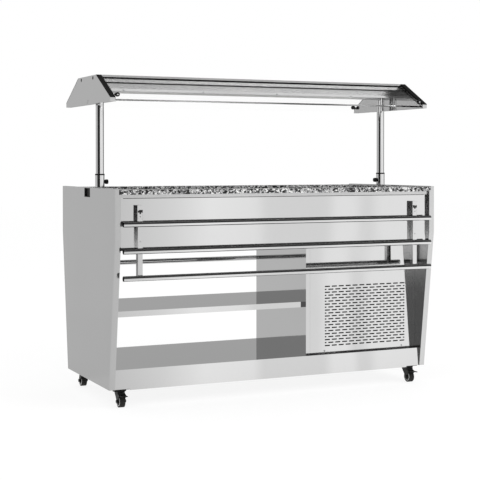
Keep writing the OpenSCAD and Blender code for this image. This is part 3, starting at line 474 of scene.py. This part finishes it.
# speckled stone: large blotches over crystals, with mica flecks on both
granite = {
    "specular": 0.35,
    "crystalSize": 264,
    "crystals": ((0.0, grey(0.012)), (0.30, grey(0.05)), (0.36, (0.34, 0.34, 0.3434, 1)), (0.62, grey(0.442)),
                 (0.66, grey(0.80)), (1.0, (0.80, 0.80, 0.784, 1))),
    "blotchSize": 132,
    "blotches": ((0.0, grey(0.012)), (0.40, (0.12, 0.12, 0.125, 1)), (0.60, grey(0.50)), (0.84, (0.86, 0.86, 0.85, 1))),
    "blotchShare": ((0.0, grey(0)), (0.38, grey(1))),
    "micaSize": 720,
    "micaShare": ((0.0, grey(1)), (0.16, grey(0))),
    "micaColour": grey(0.02),
    "warp": {"Detail": 3, "Roughness": 0.6},
    "warpSize": 0.9,  # share of the cells' scale
    "warpReach": 1.1,  # share of a cell
    "polish": (0.22, 0.34),
    "markSize": 7.0,
    "markAmount": 0.10,
    "bump": (0.05, 0.0002),
}


def buildGranite(s):
    tree, shader, place = startFinish("speckledGranite")

    def cells(scale):
        # ragged cells, with two random values for each
        warp = addNode(tree, "ShaderNodeTexNoise", {"Vector": place, "Scale": scale * s["warpSize"], **s["warp"]})
        shifted = tree.nodes.new("ShaderNodeVectorMath")
        shifted.operation = "MULTIPLY_ADD"
        feed(tree, shifted, {0: warp.outputs["Color"], 1: [s["warpReach"] / scale] * 3, 2: place})
        node = addNode(tree, "ShaderNodeTexVoronoi", {"Vector": shifted.outputs[0], "Scale": scale, "Randomness": 1.0})
        split = addNode(tree, "ShaderNodeSeparateColor", {0: node.outputs["Color"]})
        return split.outputs["Red"], split.outputs["Green"]

    crystalRed, crystalGreen = cells(s["crystalSize"])
    blotchRed, blotchGreen = cells(s["blotchSize"])
    micaRed, micaGreen = cells(s["micaSize"])
    body = rampNode(tree, crystalRed, s["crystals"], "CONSTANT")
    blotch = rampNode(tree, blotchRed, s["blotches"], "CONSTANT")
    share = rampNode(tree, blotchGreen, s["blotchShare"], "CONSTANT")
    flecks = rampNode(tree, micaRed, s["micaShare"], "CONSTANT")
    stone = mixColours(tree, share, body, blotch)
    marks = useEffect(tree, "handlingMarks", place, Size=s["markSize"], Amount=s["markAmount"])["Mask"]
    feed(tree, shader, {
        "Specular IOR Level": s["specular"],
        "Base Color": mixColours(tree, flecks, stone, s["micaColour"]),
        "Roughness": mathNode(tree, "ADD", rangeNode(tree, micaGreen, *s["polish"]), marks),
        "Normal": bumpNode(tree, crystalGreen, *s["bump"])})


buildGranite(granite)

# paint, plastic and rubber: colour and that of its patches, roughness, size and depth of the grain, share of dust
dullFinishes = {
    "blackPaint": {"colour": grey(0.006), "patch": grey(0.011), "rough": (0.34, 0.50),
                   "grain": 520, "depth": 0.06, "dust": 0.05},
    "blackPlastic": {"colour": grey(0.006), "patch": grey(0.011), "rough": (0.36, 0.52),
                     "grain": 1300, "depth": 0.12, "dust": 0.2},
    "edgeRubber": {"colour": grey(0.004), "patch": grey(0.008), "rough": (0.55, 0.68),
                   "grain": 1700, "depth": 0.14, "dust": 0.0},
    "treadRubber": {"colour": grey(0.008), "patch": (0.015, 0.015, 0.014, 1), "rough": (0.55, 0.75),
                    "grain": 900, "depth": 0.2, "dust": 0.08},
    "greyPlastic": {"colour": grey(0.46), "patch": grey(0.52), "rough": (0.30, 0.42),
                    "grain": 1300, "depth": 0.1, "dust": 0.0},
    "opalDiffuser": {"colour": (0.86, 0.86, 0.84, 1), "patch": (0.80, 0.80, 0.78, 1), "rough": (0.22, 0.30),
                     "grain": 700, "depth": 0.05, "dust": 0.0},
}
dullWear = {
    "specular": 0.18,
    "patchRange": (0.35, 0.7),  # of the noise that makes the patches
    "roughRange": (0.3, 0.7),
    "grainDepth": 0.0003,
    "dustHeight": 0.1,
    "dustColour": (0.30, 0.28, 0.25, 1),
}


def buildDull(name, s, wear):
    tree, shader, place = startFinish(name)
    grain = useEffect(tree, "mouldedGrain", place, Size=s["grain"])
    dust = useEffect(tree, "floorDust", place, Height=wear["dustHeight"], Amount=s["dust"])["Mask"]
    patches = rangeNode(tree, grain["Patches"], 0.0, 1.0, *wear["patchRange"])
    base = mixColours(tree, patches, s["colour"], s["patch"])
    feed(tree, shader, {
        "Specular IOR Level": wear["specular"],
        "Base Color": mixColours(tree, dust, base, wear["dustColour"]),
        "Roughness": rangeNode(tree, grain["Patches"], *s["rough"], *wear["roughRange"]),
        "Normal": bumpNode(tree, grain["Height"], s["depth"], wear["grainDepth"])})


for dullName, dullValues in dullFinishes.items():
    buildDull(dullName, dullValues, dullWear)

# bare and plated metals of the cooling unit and the fasteners
plainMetals = {
    "copperTube": {"colour": (0.72, 0.40, 0.26, 1), "tarnish": (0.38, 0.20, 0.13, 1), "rough": (0.22, 0.45)},
    "millAlloy": {"colour": (0.74, 0.75, 0.76, 1), "tarnish": (0.58, 0.59, 0.60, 1), "rough": (0.30, 0.44)},
    "foilFacing": {"colour": (0.66, 0.67, 0.68, 1), "tarnish": (0.55, 0.56, 0.57, 1), "rough": (0.16, 0.34)},
    "zincPlate": {"colour": (0.56, 0.57, 0.58, 1), "tarnish": (0.42, 0.43, 0.43, 1), "rough": (0.26, 0.42)},
}
metalWear = {"along": (1, 1, 1), "markSize": 38.0, "bump": (0.06, 0.0002)}


def buildPlainMetal(name, s, wear):
    tree, shader, place = startFinish(name)
    marks = useEffect(tree, "handlingMarks", place, Size=wear["markSize"], Amount=1.0)["Mask"]
    grain = useEffect(tree, "steelGrain", place, Along=wear["along"])
    feed(tree, shader, {
        "Metallic": 1.0,
        "Base Color": mixColours(tree, marks, s["colour"], s["tarnish"]),
        "Roughness": rangeNode(tree, marks, *s["rough"]),
        "Normal": bumpNode(tree, grain["Scratches"], *wear["bump"])})


for metalName, metalValues in plainMetals.items():
    buildPlainMetal(metalName, metalValues, metalWear)

# thin clear sheet, so it bends what is behind it very little
glass = {"ior": 1.08, "markSize": 9.0, "markAmount": 0.03}


def buildGlass(s):
    tree, shader, place = startFinish("canopyGlass")
    marks = useEffect(tree, "handlingMarks", place, Size=s["markSize"], Amount=s["markAmount"])["Mask"]
    feed(tree, shader, {"Base Color": white, "Transmission Weight": 1.0, "IOR": s["ior"], "Roughness": marks})


buildGlass(glass)
print("finishes built:", len(finishes))

# which finish each node of the frame wears
nodeFinishes = {
    "shadedPanelSteel": ["left_end_panel", "right_end_panel"],
    "plateSteel": ["left_end_plate", "right_end_plate", "end_plate_covers"],
    "satinSteel": ["drain_pipe", "canopy_housing"],
    "wellSteel": ["cold_well", "well_rim", "divider_bars"],
    "frameSteel": ["top_frame", "lamp_hood"],
    "apronSteel": ["front_apron", "rear_apron", "grille_cover", "rear_cover"],
    "skinSteel": ["inner_skins"],
    "mirrorSteel": ["floor_tray", "mid_shelf", "partition"],
    "bracketSteel": ["slide_brackets", "slide_pins", "front_slide_arms", "rear_slide_arms"],
    "tubeSteel": ["front_slide_rails", "rear_slide_rails", "post_sockets", "canopy_posts"],
    "speckledGranite": ["granite_top"],
    "foilFacing": ["well_insulation"],
    "copperTube": ["evaporator_coil", "refrigerant_lines"],
    "millAlloy": ["fan_blades"],
    "zincPlate": ["machine_plate"],
    "blackPaint": ["condenser", "compressor", "fan_motor", "caster_plates", "fork_front_left", "fork_front_right",
                   "fork_rear_left", "fork_rear_right", "pedal_left", "pedal_right"],
    "blackPlastic": ["thermostat_knob", "power_switch", "power_inlet", "end_pulls", "collar_rings",
                     "left_thumbscrew", "right_thumbscrew", "glass_clamps"],
    "edgeRubber": ["edge_strips"],
    "treadRubber": ["wheel_front_left", "wheel_front_right", "wheel_rear_left", "wheel_rear_right"],
    "opalDiffuser": ["lamp_diffuser"],
    "canopyGlass": ["front_glass", "rear_glass"],
}
for finishName, nodeNames in nodeFinishes.items():
    for nodeName in nodeNames:
        nodeObjects[nodeName].material_slots[0].material = finishes[finishName]
print("nodes without a finish:", sorted(set(nodeObjects).difference(*nodeFinishes.values())))

# small fittings, modelled in place on what carries them, and mirrored to the bar's other side
turns = {"x": (0, math.pi / 2, 0), "y": (math.pi / 2, 0, 0)}
toRight, toRear, toRearRight = (-1, 1, 1), (1, -1, 1), (-1, -1, 1)
facing = 0.9  # least share of its normal along an axis, for a face that looks that way
squareOn = 0.99  # the same for a face square to the axis
smoothAngle = math.radians(35)


def startCylinder(radius, depth, centre, axis, sides):
    deselectAll()
    bpy.ops.mesh.primitive_cylinder_add(
        vertices=sides, radius=radius, depth=depth, location=centre, rotation=turns[axis])
    bpy.ops.object.transform_apply(location=True, rotation=True, scale=True)
    return bpy.context.object


def startBlock(low, high):
    deselectAll()
    bpy.ops.mesh.primitive_cube_add(size=1, location=[(a + b) / 2 for a, b in zip(low, high)])
    bpy.context.object.scale = [b - a for a, b in zip(low, high)]
    bpy.ops.object.transform_apply(location=True, rotation=True, scale=True)
    return bpy.context.object


def pickFaces(piece, test):
    # face by centre and normal, left selected in edit mode
    bpy.context.view_layer.objects.active = piece
    if bpy.context.mode != "EDIT_MESH":
        bpy.ops.object.mode_set(mode="EDIT")
    bpy.ops.mesh.select_mode(type="FACE")
    bpy.ops.mesh.select_all(action="DESELECT")
    mesh = bmesh.from_edit_mesh(piece.data)
    for face in mesh.faces:
        face.select_set(bool(test(face.calc_center_median(), face.normal)))
    bmesh.update_edit_mesh(piece.data)


def pushFaces(x, y, z):
    bpy.ops.mesh.extrude_region_move(TRANSFORM_OT_translate={"value": (x, y, z)})


def softenEdges(width, segments=2):
    bpy.ops.mesh.bevel(offset=width, segments=segments, affect="EDGES")


def joinPieces(pieces):
    deselectAll()
    for piece in pieces:
        piece.select_set(True)
    bpy.context.view_layer.objects.active = pieces[0]
    bpy.ops.object.join()


def finishPiece(piece, name, body, finish):
    deselectAll()
    piece.select_set(True)
    bpy.context.view_layer.objects.active = piece
    bpy.ops.object.shade_smooth_by_angle(angle=smoothAngle)
    piece.name = name
    piece.data.name = name
    piece.data.materials.clear()
    piece.data.materials.append(finishes[finish])
    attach(piece, body)
    return piece


def copyPiece(piece, name, body, shift=(0, 0, 0), flip=(1, 1, 1)):
    twin = bpy.data.objects.new(name, piece.data.copy())
    twin.data.name = name
    twin.data.transform(Matrix.Translation(shift) @ Matrix.Diagonal((*flip, 1)))
    if flip[0] * flip[1] * flip[2] < 0:
        twin.data.flip_normals()
    scene.collection.objects.link(twin)
    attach(twin, body)


# black profile that holds the glass to the housing, front and rear
glassSeal = {"halfLength": 0.7285, "face": 0.1277, "foot": 0.1303, "low": 1.3535, "edge": 1.3605, "top": 1.3624,
             "lip": 0.0030, "bevel": 0.0006}


def buildGlassSeals(s):
    piece = startBlock((-s["halfLength"], -s["foot"], s["low"]), (s["halfLength"], -s["face"], s["edge"]))
    pickFaces(piece, lambda c, n: n.z > facing)
    pushFaces(0, 0, s["top"] - s["edge"])
    pickFaces(piece, lambda c, n: n.y < -facing and c.z > s["edge"])
    pushFaces(0, -s["lip"], 0)
    pickFaces(piece, lambda c, n: n.y < -facing and c.z > s["edge"])
    softenEdges(s["bevel"])
    finishPiece(piece, "glassSealFront", "canopy", "edgeRubber")
    copyPiece(piece, "glassSealRear", "canopy", flip=toRear)


# black beads along the bar that are painted shade lines: one in the corner under the housing, one under the top frame's
# lip
shadeBeads = {
    "cornerShadeBead": {"body": "canopy", "halfLength": 0.7285, "inner": 0.0903, "outer": 0.0938,
                   "low": 1.3372, "high": 1.3408, "bevel": 0.0012, "segments": 3},
    "frameShadeBead": {"body": "cabinet", "halfLength": 0.7150, "inner": 0.35185, "outer": 0.3541,
                  "low": 0.8586, "high": 0.8610, "bevel": 0.0007, "segments": 3},
}


def buildShadeBead(name, s):
    piece = startBlock((-s["halfLength"], -s["outer"], s["low"]), (s["halfLength"], -s["inner"], s["high"]))
    pickFaces(piece, lambda c, n: n.y < -facing)
    softenEdges(s["bevel"], s["segments"])
    finishPiece(piece, name + "Front", s["body"], "edgeRubber")
    copyPiece(piece, name + "Rear", s["body"], flip=toRear)


# black strip inside each end plate's front edge, and a ledge under the glass: dark pieces that are painted shade on the
# plate's inner face
shadeStrip = {"inner": 0.7318, "outer": 0.7331, "lowY": 0.3105, "lowTop": 1.26775, "rise": 0.5482, "run": 0.1780,
            "deep": 0.0060, "ledgeDrop": 0.0138, "ledgeDeep": 0.0030, "stub": 0.0008, "bevel": 0.0003, "segments": 1}


def buildShadeStrips(s):
    def bar(top, deep):
        piece = startBlock((s["inner"], -s["lowY"], top - deep), (s["outer"], -s["lowY"] + s["stub"], top))
        pickFaces(piece, lambda c, n: n.y > facing)
        pushFaces(0, s["run"], s["run"] * s["rise"])
        pickFaces(piece, lambda c, n: n.x < -facing)
        softenEdges(s["bevel"], s["segments"])
        return piece

    shadeStripPiece = bar(s["lowTop"], s["deep"])
    joinPieces([shadeStripPiece, bar(s["lowTop"] - s["ledgeDrop"], s["ledgeDeep"])])
    finishPiece(shadeStripPiece, "shadeStripFrontRight", "canopy", "edgeRubber")
    copyPiece(shadeStripPiece, "shadeStripFrontLeft", "canopy", flip=toRight)


# black dust mat in a thin frame, against the back of the grille; it also paints the shade seen through the grille's
# slots
dustAndShadeMat = {"left": 0.2420, "right": 0.7000, "low": 0.1750, "high": 0.5350, "face": 0.2534, "frame": 0.0055,
           "rim": 0.0080, "step": 0.001, "sunk": 0.0025, "bevel": 0.0008}


def buildDustAndShadeMat(s):
    piece = startBlock((s["left"], -s["face"], s["low"]), (s["right"], -s["face"] + s["frame"], s["high"]))
    pickFaces(piece, lambda c, n: n.y > facing)
    bpy.ops.mesh.inset(thickness=s["rim"], depth=0)
    bpy.ops.mesh.inset(thickness=s["step"], depth=-s["sunk"])
    edge = (s["left"] + s["step"], s["right"] - s["step"])
    pickFaces(piece, lambda c, n: abs(n.x) > facing and not edge[0] <= c.x <= edge[1])
    softenEdges(s["bevel"])
    finishPiece(piece, "grilleDustAndShadeMat", "cabinet", "edgeRubber")


# round head with a socket: shares of its radius, and the recess as a share of its height
headShape = {"sides": 20, "bevel": 0.22, "segments": 3, "rim": 0.3, "slope": 0.06, "recess": 0.45}


def buildHead(name, body, finish, s, centre):
    piece = startCylinder(s["radius"], s["height"], centre, s["axis"], headShape["sides"])
    axis = "xyz".index(s["axis"])
    pickFaces(piece, lambda c, n: n[axis] < -facing)
    softenEdges(s["radius"] * headShape["bevel"], headShape["segments"])
    pickFaces(piece, lambda c, n: n[axis] < -squareOn)
    bpy.ops.mesh.inset(thickness=s["radius"] * headShape["rim"], depth=0)
    bpy.ops.mesh.inset(thickness=s["radius"] * headShape["slope"], depth=-s["height"] * headShape["recess"])
    return finishPiece(piece, name, body, finish)


# bright centres of the glass clamps
clampCentre = {"radius": 0.0040, "height": 0.0018, "axis": "y", "x": 0.72115, "y": 0.3057, "z": 1.28045}


def buildClampCentres(s):
    first = buildHead("clampCentreFrontLeft", "canopy", "tubeSteel", s, (-s["x"], -s["y"], s["z"]))
    for corner, flip in (("FrontRight", toRight), ("RearLeft", toRear), ("RearRight", toRearRight)):
        copyPiece(first, "clampCentre" + corner, "canopy", flip=flip)


# screws along the lamp hood
hoodScrews = {"radius": 0.0034, "height": 0.0026, "axis": "y", "xs": (-0.622, -0.254, 0.105, 0.486),
              "y": 0.0882, "z": 1.3096}


def buildHoodScrews(s):
    start = s["xs"][0]
    first = buildHead("hoodScrewFront1", "canopy", "zincPlate", s, (start, -s["y"], s["z"]))
    for number, x in enumerate(s["xs"][1:], 2):
        copyPiece(first, f"hoodScrewFront{number}", "canopy", shift=(x - start, 0, 0))
    for number, x in enumerate(s["xs"], 1):
        copyPiece(first, f"hoodScrewRear{number}", "canopy", shift=(-x - start, 0, 0), flip=toRear)


# black bolts through the canopy's end plates, by Y and Z
plateBolts = {"radius": 0.0046, "height": 0.0022, "axis": "x", "x": 0.75455,
              "spots": ((-0.0137, 1.2670), (-0.0035, 1.2588))}


def buildPlateBolts(s):
    for number, (y, z) in enumerate(s["spots"], 1):
        left = buildHead(f"plateBoltLeft{number}", "canopy", "blackPaint", s, (-s["x"], y, z))
        copyPiece(left, f"plateBoltRight{number}", "canopy", flip=toRight)


# screws at the foot of the grille plate and of the rear cover
coverScrews = {"radius": 0.0036, "height": 0.0016, "axis": "y", "xs": (0.2578, 0.6578), "y": 0.2556, "z": 0.1690}


def buildCoverScrews(s):
    start, end = s["xs"]
    first = buildHead("coverScrewFront1", "cabinet", "zincPlate", s, (start, -s["y"], s["z"]))
    copyPiece(first, "coverScrewFront2", "cabinet", shift=(end - start, 0, 0))
    copyPiece(first, "coverScrewRear1", "cabinet", flip=toRear)
    copyPiece(first, "coverScrewRear2", "cabinet", shift=(end - start, 0, 0), flip=toRear)


# lobes round the two thumbscrew knobs
knobLobes = {"count": 7, "sides": 12, "radius": 0.0024, "ring": 0.0078, "length": 0.0110, "bevel": 0.0008,
             "x": 0.6696, "z": 0.922}


def buildKnobLobes(s):
    first = startCylinder(s["radius"], s["length"], (-s["x"], s["ring"], s["z"]), "x", s["sides"])
    pickFaces(first, lambda c, n: abs(n.x) > facing)
    softenEdges(s["bevel"])
    deselectAll()
    lobes = [first]
    centre = Matrix.Translation((-s["x"], 0, s["z"]))
    for number in range(1, s["count"]):
        lobe = bpy.data.objects.new("lobe", first.data.copy())
        turn = Matrix.Rotation(2 * math.pi * number / s["count"], 4, "X")
        lobe.data.transform(centre @ turn @ centre.inverted())
        scene.collection.objects.link(lobe)
        lobes.append(lobe)
    joinPieces(lobes)
    finishPiece(first, "knobLobesLeft", "screw_left", "blackPlastic")
    copyPiece(first, "knobLobesRight", "screw_right", flip=toRight)


# the casters by the words in their bodies' names, and how each mirrors the first one
casters = {"front_left": (1, 1, 1), "front_right": toRight, "rear_left": toRear, "rear_right": toRearRight}


def casterWords(caster):
    return caster.title().replace("_", "")


# grey rim on both sides of each wheel
wheelRim = {"outer": 0.0196, "sides": 32, "wide": 0.0030, "thick": 0.0009, "bevel": 0.0003, "segments": 1,
            "side": 0.01155, "x": 0.695, "y": 0.262, "z": 0.025}


def buildWheelRims(s):
    rim = startCylinder(s["outer"], s["thick"], (-s["x"] - s["side"], -s["y"], s["z"]), "x", s["sides"])
    pickFaces(rim, lambda c, n: n.x < -facing)
    softenEdges(s["bevel"], s["segments"])
    pickFaces(rim, lambda c, n: abs(n.x) > squareOn)
    bpy.ops.mesh.inset(thickness=s["wide"], depth=0)
    bpy.ops.mesh.bridge_edge_loops()
    bpy.ops.mesh.select_all(action="SELECT")
    bpy.ops.mesh.normals_make_consistent(inside=False)
    finishPiece(rim, "wheelRimFrontLeftOuter", "roller_front_left", "greyPlastic")
    for caster, flip in casters.items():
        name = "wheelRim" + casterWords(caster)
        if caster != "front_left":
            copyPiece(rim, name + "Outer", f"roller_{caster}", flip=flip)
        copyPiece(rim, name + "Inner", f"roller_{caster}",
                  shift=(-2 * flip[0] * s["x"], 0, 0), flip=(-flip[0], flip[1], 1))


# black hood between the legs of each fork
forkHood = {"x": 0.695, "half": 0.0126, "front": 0.2750, "back": 0.2300, "step": 0.2545, "low": 0.0515,
            "mid": 0.0600, "high": 0.0642, "bevel": 0.0025, "segments": 3}


def buildForkHoods(s):
    hood = startBlock((-s["x"] - s["half"], -s["front"], s["low"]), (-s["x"] + s["half"], -s["step"], s["mid"]))
    pickFaces(hood, lambda c, n: n.y > facing)
    pushFaces(0, s["step"] - s["back"], 0)
    pickFaces(hood, lambda c, n: n.z > facing and c.y < -s["step"])
    pushFaces(0, 0, s["high"] - s["mid"])
    pickFaces(hood, lambda c, n: n.y < -facing)
    softenEdges(s["bevel"], s["segments"])
    finishPiece(hood, "forkHoodFrontLeft", "swivel_front_left", "blackPaint")
    for caster, flip in casters.items():
        if caster != "front_left":
            copyPiece(hood, "forkHood" + casterWords(caster), f"swivel_{caster}", flip=flip)


buildGlassSeals(glassSeal)
for shadeBeadName, shadeBeadValues in shadeBeads.items():
    buildShadeBead(shadeBeadName, shadeBeadValues)
buildShadeStrips(shadeStrip)
buildDustAndShadeMat(dustAndShadeMat)
print("seals, legs and dust mat built")
buildClampCentres(clampCentre)
buildHoodScrews(hoodScrews)
buildPlateBolts(plateBolts)
buildCoverScrews(coverScrews)
print("heads built")
buildKnobLobes(knobLobes)
buildWheelRims(wheelRim)
buildForkHoods(forkHood)
print("knobs and casters trimmed")

# spread of the nodes in the editor
treeSpread = {"column": 240, "row": 300}


def layOut(tree, s):
    # a column for each step back from the output, rows in the order the nodes were made
    columns = {}

    def visit(node, column):
        columns[node.name] = max(column, columns.get(node.name, 0))
        for link in tree.links:
            if link.to_node == node:
                visit(link.from_node, column + 1)

    for node in tree.nodes:
        if not any(socket.is_linked for socket in node.outputs):
            visit(node, 0)
    rows = {}
    for node in tree.nodes:
        column = columns[node.name]
        node.location = (-column * s["column"], -rows.get(column, 0) * s["row"])
        rows[column] = rows.get(column, 0) + 1


for nodeTree in trees:
    layOut(nodeTree, treeSpread)
print("node trees laid out:", len(trees))
